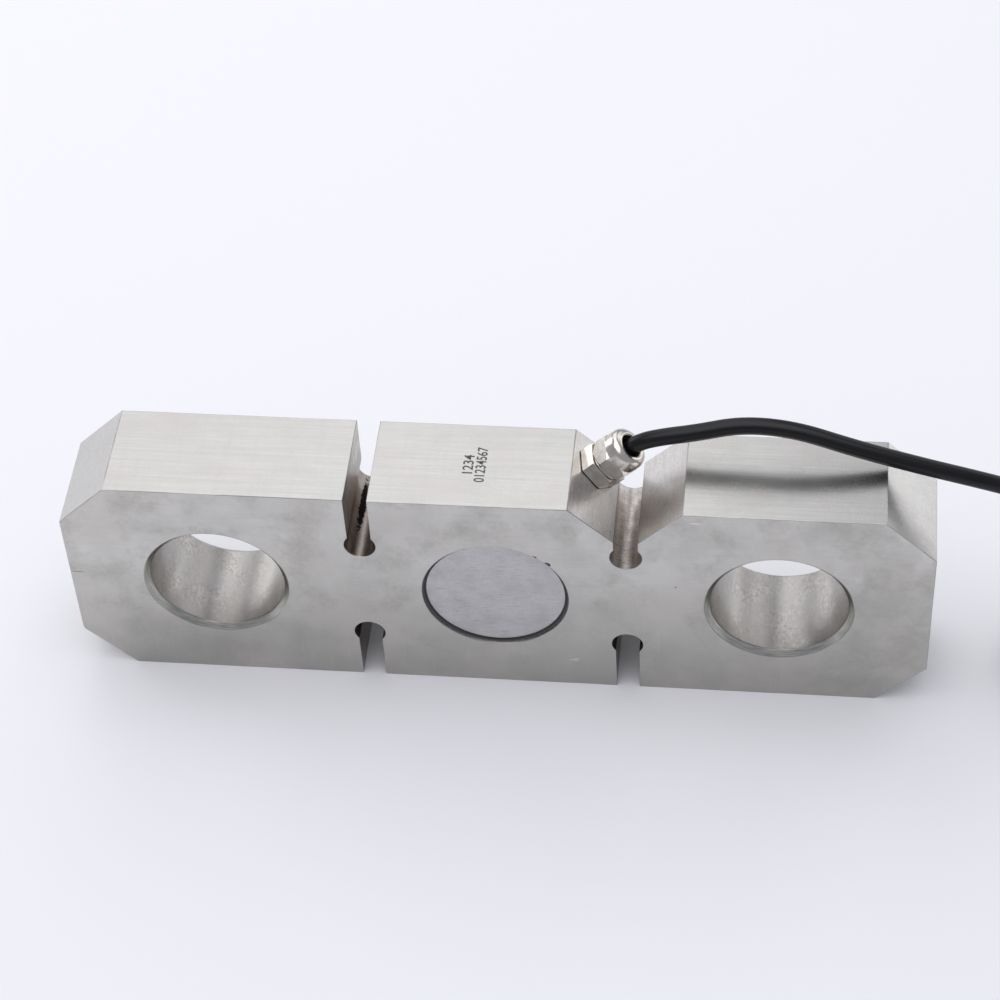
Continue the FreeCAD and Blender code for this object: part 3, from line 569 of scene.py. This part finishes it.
def brushed_faces():
    # Milled and lightly brushed front and rear faces: mid grey and cloudy, darker
    # towards the foot with painted shade, with smudges of fine pitting, faint upright and
    # lengthwise lines, drawn coarser than the real ones so that they show, a few dark
    # marks, soft smudges and fine scratches.
    material, tree, shader = finish("brushed_stainless_faces")
    colour, clouds = layer(
        tree, tone("C3C2BE"), tone("D1D0CC"), 16 * MM, (0.35, 0.65, 0, 1), detail=3,
    )
    # Painted shade: the faces darken towards their foot, standing in for the shadowed table
    # that they reflect.
    height = add(
        tree, "ShaderNodeSeparateXYZ", {"Vector": place(tree)}
    ).outputs["Z"]
    low = add(
        tree, "ShaderNodeMapRange", {0: height, 1: 0, 2: 55 * MM, 3: 0.8, 4: 0},
    ).outputs[0]
    colour = add(
        tree, "ShaderNodeMix", {0: low, 6: colour, 7: tone("A09F9A")}, data_type="RGBA",
    ).outputs[2]
    colour, _ = layer(
        tree, colour, tone("CAC1BC"), 22 * MM, (0.45, 0.7, 0, 0.45), shift=(3, 0, 1),
        detail=2,
    )
    colour, along = layer(
        tree, colour, tone("ACABA8"), 0.5 * MM, (0.55, 0.7, 0, 0.3),
        stretch=(0.03, 1, 1), detail=2,
    )
    colour, _ = layer(
        tree, colour, tone("D9D8D4"), 0.7 * MM, (0.58, 0.75, 0, 0.18),
        stretch=(1, 1, 0.04), detail=2,
    )
    colour, smudges = layer(
        tree, colour, tone("AFADA8"), 15 * MM, (0.5, 0.66, 0, 0.45), shift=(1, 0, 5),
    )
    smudged = add(
        tree, "ShaderNodeMapRange", {0: smudges, 1: 0.5, 2: 0.66, 3: 0.04, 4: 0.3},
    ).outputs[0]
    pitted, pits = layer(tree, colour, tone("9F9C97"), 1.3 * MM, (0.42, 0.62, 0, 1), detail=6)
    colour = add(
        tree, "ShaderNodeMix", {0: smudged, 6: colour, 7: pitted}, data_type="RGBA",
    ).outputs[2]
    for centre, reach in FACE_SMUDGES:
        colour, _ = spot(
            tree, colour, tone("A4A19C"), centre, reach, 0.4, 5 * MM, 0.5, soft=0.9,
        )
    for centre, reach in FACE_MARKS:
        colour, _ = spot(tree, colour, tone("57534F"), centre, reach, 0.1, 0.5 * MM)
    for centre, reach in FACE_SCRATCHES:
        colour, _ = spot(tree, colour, tone("E9E8E5"), centre, reach, 0.15, 0.6 * MM)
    surface(
        tree, shader, colour, 1.0, (clouds, 0.35, 0.65, 0.3, 0.38),
        (0.004 * MM, 0.5, along, pits, 0.5),
    )
    return material


def bored_walls():
    # Bored steel: duller and mottled, with rings round the bore that smear what it
    # reflects along it, drawn coarser than the real ones, and warm stains.
    material, tree, shader = finish("bored_stainless_walls")
    mottled, mottle = layer(
        tree, tone("9A958F"), tone("C0BDB9"), 0.9 * MM, (0.36, 0.62, 0, 1),
        stretch=(1, 0.7, 1), detail=4,
    )
    colour, _ = layer(
        tree, tone("ACA9A5"), mottled, 10 * MM, (0.42, 0.62, 0.1, 0.7), shift=(0, 0, 2),
        detail=2,
    )
    colour, _ = layer(
        tree, colour, tone("9B9590"), 8 * MM, (0.45, 0.68, 0, 0.6), stretch=(1, 0.4, 1),
        detail=3,
    )
    rings = add(
        tree, "ShaderNodeTexNoise",
        {
            "Vector": place(tree, scale=(0.05, 1, 0.05)), "Scale": 1 / (0.3 * MM),
            "Detail": 2, "Roughness": 0.6,
        },
    ).outputs[0]
    surface(
        tree, shader, colour, 1.0, (mottle, 0.35, 0.65, 0.34, 0.28),
        (0.05 * MM, 1.0, rings, mottle, 0.03),
    )
    return material


def turned_chamfers():
    # Turned chamfers of the bores: greenish grey, with rings round them, drawn coarser
    # than the real ones.
    material, tree, shader = finish("turned_stainless_chamfers")
    colour, rings = layer(
        tree, tone("95968E"), tone("BCBCB2"), 0.25 * MM, (0.35, 0.65, 0, 1),
        stretch=(0.05, 1, 0.05), detail=2,
    )
    surface(tree, shader, colour, 1.0, 0.3, (0.01 * MM, 0.5, rings))
    return material


def milled_flanks():
    # End-milled notch flanks: fine lines that run through the notch from front to rear,
    # drawn coarser than the real ones so that they show, with freckles and warm clouds.
    material, tree, shader = finish("milled_stainless_flanks")
    colour, lines = layer(
        tree, tone("C7C4C0"), tone("D8D5D2"), 0.5 * MM, (0.3, 0.7, 0, 1),
        stretch=(1, 0.05, 1), detail=3,
    )
    colour, freckles = layer(tree, colour, tone("A19B96"), 0.7 * MM, (0.5, 0.65, 0, 0.4))
    colour, _ = layer(
        tree, colour, tone("C0B7B1"), 7 * MM, (0.45, 0.7, 0, 0.5), detail=2,
    )
    surface(tree, shader, colour, 1.0, 0.32, (0.012 * MM, 0.5, lines, freckles, 0.4))
    return material


def broken_edges():
    # Edges broken by hand with a file: a thin, slightly dull line that is darker or
    # brighter than the faces beside it by what it reflects. Its tone is also darker than
    # the faces, painted shade for the dark line along the arris.
    material, tree, shader = finish("filed_edges_and_painted_shade")
    # Painted shade: these tones are darker than the faces, for the dark line the arris shows.
    colour, _ = layer(
        tree, tone("969491"), tone("BCBAB7"), 22 * MM, (0.4, 0.6, 0, 1), detail=2,
    )
    surface(tree, shader, colour, 1.0, 0.35)
    return material


def cut_slots():
    # Slots and keyholes: bare steel, freckled, with cutter rings drawn coarser than the
    # real ones so that they show. Painted shade darkens the left ones to brown and the
    # lower ones near the table, and the upper left keyhole has one black smear.
    material, tree, shader = finish("cut_stainless_slots")
    colour, rings = layer(
        tree, tone("BFB9B3"), tone("D6D1CC"), 0.5 * MM, (0.35, 0.65, 0, 1),
        stretch=(0.08, 1, 0.08), detail=2,
    )
    colour, freckles = layer(tree, colour, tone("8B837C"), 0.8 * MM, (0.45, 0.65, 0, 0.45))
    colour, _ = layer(
        tree, colour, tone("958A82"), 4 * MM, (0.45, 0.7, 0, 0.6), stretch=(1, 0.5, 1),
    )
    # Painted shade: a brown patch darkens the left slot's wall, which is seen in shade.
    colour, _ = spot(
        tree, colour, tone("84786E"), BROWN_SHADE_PLACE, BROWN_SHADE_REACH, 0.2, 5 * MM, 0.6,
    )
    # Painted shade: the lower slots darken where they open near the table.
    colour, _ = spot(
        tree, colour, tone("67605A"), LOW_SHADE_PLACE, LOW_SHADE_REACH, 0.1, 5 * MM, 0.6,
    )
    colour, smear = spot(
        tree, colour, tone("2E2825"), SMEAR_PLACE, SMEAR_REACH, 0.4, 1.0 * MM,
    )
    surface(
        tree, shader, colour, 1.0, (smear, 0, 1, 0.34, 0.7),
        (0.02 * MM, 0.5, rings, freckles, 0.5),
    )
    return material


FLAT, FACE, BORE, CHAMFER, FLANK, SLOT, EDGE = range(7)


def machining_of(face):
    """Which machining left a face of the link."""
    n = face.normal
    c = face.calc_center_median()
    for side in (-1, 1):
        if math.hypot(c.x - side * BORE_PLACE, c.z - BORE_HEIGHT) < BORE_MOUTH:
            if abs(n.y) < 0.3:
                return BORE
            if abs(n.y) < 0.95:
                return CHAMFER
    if abs(n.y) > 0.9:
        return FACE
    if c.z > NOTCH_FOOT and SLOT_HALF_WIDTH < abs(c.x - SLOT_PLACE) < NOTCH_HALF_WIDTH:
        if abs(abs(n.x) - abs(n.z)) < 0.05:
            return FLANK
    if abs(abs(c.x) - SLOT_PLACE) < KEYHOLE_REACH and 0.1 * MM < c.z < BLOCK_TOP - 0.1 * MM:
        return SLOT
    return FLAT


def dressed(node, name, width, *finishes):
    """A merged copy of a solid's mesh, its edges broken, which stands for the node."""
    shape = bmesh.new()
    shape.from_mesh(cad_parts[node].data)
    bmesh.ops.remove_doubles(shape, verts=shape.verts, dist=0.002 * MM)
    bmesh.ops.dissolve_limit(
        shape, angle_limit=math.radians(0.5), verts=shape.verts, edges=shape.edges
    )
    for face in shape.faces:
        face.smooth = True
        face.material_index = 0
    copy = piece(name, shape, *finishes)
    bevel = copy.modifiers.new("broken_edges", "BEVEL")
    bevel.width = width
    bevel.segments = 2
    bevel.limit_method = "ANGLE"
    bevel.angle_limit = math.radians(30)
    shade = copy.modifiers.new("even_shading", "WEIGHTED_NORMAL")
    shade.weight = 100
    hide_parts(node)
    return copy


def link():
    """The machined plate, with a finish on each face for the cut that left it."""
    plate = dressed(
        "element_block", "steel_link", LINK_EDGE,
        ground_flats(), brushed_faces(), bored_walls(),
        turned_chamfers(), milled_flanks(), cut_slots(), broken_edges(),
    )
    bevel = plate.modifiers["broken_edges"]
    bevel.material = EDGE
    bevel.use_clamp_overlap = False
    bevel.loop_slide = False
    shape = bmesh.new()
    shape.from_mesh(plate.data)
    for face in shape.faces:
        face.material_index = machining_of(face)
    shape.to_mesh(plate.data)
    shape.free()


# Covers and gland

def cover_plate():
    # Thin stainless lid, bead blasted: bluish grey and dull, with darker blots, and with
    # fine dashes along it, drawn coarser than the real ones so that they show.
    material, tree, shader = finish("blasted_stainless_lid")
    colour, grain = layer(
        tree, tone("BFBDBE"), tone("CCCACB"), 0.5 * MM, (0.3, 0.7, 0, 1),
    )
    colour, clouds = layer(tree, colour, tone("B2B0B1"), 7 * MM, (0.42, 0.65, 0, 0.5))
    colour, _ = layer(
        tree, colour, tone("8B8A8C"), 0.6 * MM, (0.58, 0.72, 0, 0.5),
        stretch=(0.12, 1, 1), detail=2,
    )
    colour, dashes = layer(
        tree, colour, tone("DCDBDF"), 0.6 * MM, (0.38, 0.28, 0, 0.55),
        stretch=(0.12, 1, 1), detail=2,
    )
    surface(
        tree, shader, colour, 1.0, (clouds, 0.3, 0.7, 0.38, 0.46),
        (0.012 * MM, 0.5, grain, dashes, 0.5),
    )
    return material


def sealant():
    # Black silicone sealing compound: black and smooth beside the lid, fading to grey
    # outwards, a painted soft edge of the shade round the lid.
    material, tree, shader = finish("black_sealant_and_painted_shade")
    colour, lumps = layer(tree, tone("0E0E0E"), tone("1C1B1B"), 1.5 * MM, detail=3)
    away = add(
        tree, "ShaderNodeVectorMath",
        {0: place(tree, shift=(0, 0, -LID_HEIGHT), scale=(1, 0, 1))}, operation="LENGTH",
    ).outputs["Value"]
    # Painted shade: the black fades to grey outwards from the lid, the soft outer edge of the
    # shade in the gap.
    shade_edge_fade = add(
        tree, "ShaderNodeMapRange", {0: away, 1: SEAL_RIM, 2: SEAL_END},
    ).outputs[0]
    colour = add(
        tree, "ShaderNodeMix", {0: shade_edge_fade, 6: colour, 7: tone("555351")},
        data_type="RGBA",
    ).outputs[2]
    surface(tree, shader, colour, 0.0, 0.45, (0.08 * MM, 0.6, lumps))
    return material


def nickel():
    # Nickel-plated brass: bright, faintly warm, with soft handling marks.
    material, tree, shader = finish("nickel_plated_brass")
    colour, _ = layer(
        tree, tone("C8C2B8"), tone("DBD7D0"), 4 * MM, (0.35, 0.65, 0, 1), detail=2,
    )
    colour, marks = layer(
        tree, colour, tone("C2BCB2"), 1.2 * MM, (0.55, 0.75, 0, 0.3), detail=3,
    )
    surface(
        tree, shader, colour, 1.0, (marks, 0.3, 0.7, 0.14, 0.26),
        (0.01 * MM, 0.4, marks),
    )
    return material


def pvc_jacket():
    # Extruded black PVC: dull, faintly orange-peeled, with a broad soft sheen on top.
    material, tree, shader = finish("black_pvc_jacket")
    colour, dust = layer(
        tree, tone("07070A"), tone("0D0D12"), 5 * MM, (0.4, 0.7, 0, 1), detail=3,
    )
    colour, peel = layer(
        tree, colour, tone("121217"), 0.6 * MM, (0.55, 0.75, 0, 0.5), detail=3,
    )
    shader.inputs["Specular IOR Level"].default_value = 0.32
    surface(
        tree, shader, colour, 0.0, (dust, 0.3, 0.7, 0.28, 0.36), (0.01 * MM, 0.4, peel),
    )
    return material


def moulded(name, dark, light, roughness):
    """A moulded or extruded plastic or rubber: two close tones in a fine mottle."""
    material, tree, shader = finish(name)
    colour, mottle = layer(tree, tone(dark), tone(light), 0.8 * MM, detail=3)
    surface(tree, shader, colour, 0.0, roughness, (0.01 * MM, 0.3, mottle))
    return material


def drawn(name, dark, light, roughness):
    """A drawn bare or enamelled wire, with fine uneven die lines."""
    material, tree, shader = finish(name)
    colour, lines = layer(tree, tone(dark), tone(light), 0.2 * MM, detail=2)
    surface(tree, shader, colour, 1.0, (lines, 0.3, 0.7, roughness, roughness + 0.1))
    return material


def gauge_film():
    # Foil strain gauge: amber polyimide film over a grey foil grid along the web's slope.
    material, tree, shader = finish("polyimide_foil_gauge")
    colour, _ = layer(tree, tone("B0702A"), tone("C8893C"), 1.5 * MM, detail=2)
    lines = add(
        tree, "ShaderNodeTexWave",
        {"Vector": place(tree, turn=(0, math.radians(45), 0)), "Scale": 1 / (8 * MM)},
    ).outputs[1]
    grid = add(
        tree, "ShaderNodeMapRange", {0: lines, 1: 0.4, 2: 0.6, 3: 0, 4: 0.7},
    ).outputs[0]
    colour = add(
        tree, "ShaderNodeMix", {0: grid, 6: colour, 7: tone("8A8078")}, data_type="RGBA",
    ).outputs[2]
    surface(tree, shader, colour, 0.0, 0.3)
    return material


def laminate():
    # Glass-epoxy circuit board: green, with the glass cloth's weave faintly through it.
    material, tree, shader = finish("green_glass_epoxy_board")
    colour, _ = layer(
        tree, tone("1F4A2C"), tone("37683F"), 0.4 * MM, stretch=(0.1, 1, 1), detail=1,
    )
    colour, _ = layer(
        tree, colour, tone("37683F"), 0.4 * MM, (0.4, 0.8, 0, 0.6), stretch=(1, 1, 0.1),
        detail=1,
    )
    surface(tree, shader, colour, 0.0, 0.35)
    return material


def inner_parts():
    """Finishes of what lies under the lids and inside the gland."""
    wire_tones = {
        "red_insulation": ("8E1C1A", "A52A24"),
        "green_insulation": ("1D6B3A", "2C8049"),
        "white_insulation": ("CFCDC6", "E0DED8"),
        "black_insulation": ("161616", "242424"),
    }
    # Extruded PVC core colours, slightly glossy and even.
    cores = {
        slot: moulded(f"pvc_{slot}", *tones, 0.35) for slot, tones in wire_tones.items()
    }
    finishes = {
        **cores,
        "gauge_film": gauge_film(),
        "board_laminate": laminate(),
        # Enamelled copper: dark orange lacquer over drawn wire.
        "enamelled_wire": drawn("enamelled_copper_wire", "8A4A22", "A86034", 0.28),
        # PTFE sleeving: milky and waxy.
        "jumper_insulation": moulded("ptfe_sleeving", "D6D4CC", "E6E4DE", 0.45),
        # Dipped resistors: blue epoxy, glossy and a little lumpy.
        "resistor_body": moulded("blue_dipped_epoxy", "28506E", "34627F", 0.25),
        # Moulded natural nylon claw: cream and satin.
        "claw_plastic": moulded("natural_nylon", "C9C2AE", "D8D2C1", 0.4),
    }
    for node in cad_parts.values():
        wanted = frame_slot(node)
        if wanted in finishes:
            node.material_slots[0].material = finishes[wanted]
    return {slot.split("_")[0]: core for slot, core in cores.items()}


def frame_slot(node):
    """The record's name of the finish that a CAD node came with."""
    return node.material_slots[0].material.name


def lettering():
    # Laser-marked digits: dark grey oxide, dull, broken by the ground surface under it.
    material, tree, shader = finish("laser_marked_oxide")
    colour, _ = layer(
        tree, tone("3A3634"), tone("8A8582"), 0.25 * MM, (0.45, 0.75, 0, 1), detail=3,
    )
    surface(tree, shader, colour, 0.0, 0.6)
    for name, words, foot, start, width in MARKINGS:
        line = bpy.data.curves.new(name, "FONT")
        line.body = words
        line.extrude = 0.01
        line.offset = 0.015
        sign = bpy.data.objects.new(name, line)
        bpy.context.scene.collection.objects.link(sign)
        shape = bmesh.new()
        shape.from_mesh(bpy.data.meshes.new_from_object(sign))
        bpy.data.objects.remove(sign)
        left = min(v.co.x for v in shape.verts)
        wide = max(v.co.x for v in shape.verts) - left
        low = min(v.co.y for v in shape.verts)
        high = max(v.co.y for v in shape.verts) - low
        for v in shape.verts:
            across = (v.co.x - left) / wide * width
            up = (v.co.y - low) / high * DIGIT_HEIGHT
            v.co = Vector((foot - up, start + across, BLOCK_TOP + 0.002 * v.co.z))
        bmesh.ops.remove_doubles(shape, verts=shape.verts, dist=1e-7)
        bmesh.ops.recalc_face_normals(shape, faces=shape.faces)
        mark = piece(name, shape, material)


def coverings():
    """Both lids, their sealant, and the four parts of the gland."""
    lid = cover_plate()
    seal = sealant()
    for side in ("front", "rear"):
        cover = dressed(f"{side}_cover", f"{side}_lid", LID_EDGE, lid)
        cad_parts[f"{side}_cover_seal"].material_slots[0].material = seal
    plating = nickel()
    for part in ("body", "cap"):
        shell = dressed(f"gland_{part}", f"gland_{part}_plated", GLAND_EDGE, plating)
    # Moulded nitrile rubber: soft black, dull.
    black = moulded("black_nitrile_rubber", "161616", "222222", 0.6)
    for part in ("gasket", "insert"):
        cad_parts[f"gland_{part}"].material_slots[0].material = black


bpy.context.scene.view_settings.view_transform = "Standard"
camera()
floor()
lamps()
link()
coverings()
lettering()
CORES = inner_parts()
# Moulded nylon ties: black, with a soft satin skin.
NYLON = moulded("black_nylon_ties", "151515", "232323", 0.42)
# Tinned copper: bright grey, drawn.
TINNED = drawn("tinned_copper_wire", "9C9A96", "C4C2BE", 0.25)
ON_THE_CABLE = [
    *tie("front_tie", "hank_tie_front", -1, NYLON),
    *tie("rear_tie", "hank_tie_rear", 1, NYLON),
    *stripped_end(CORES, TINNED),
]
cable(pvc_jacket())
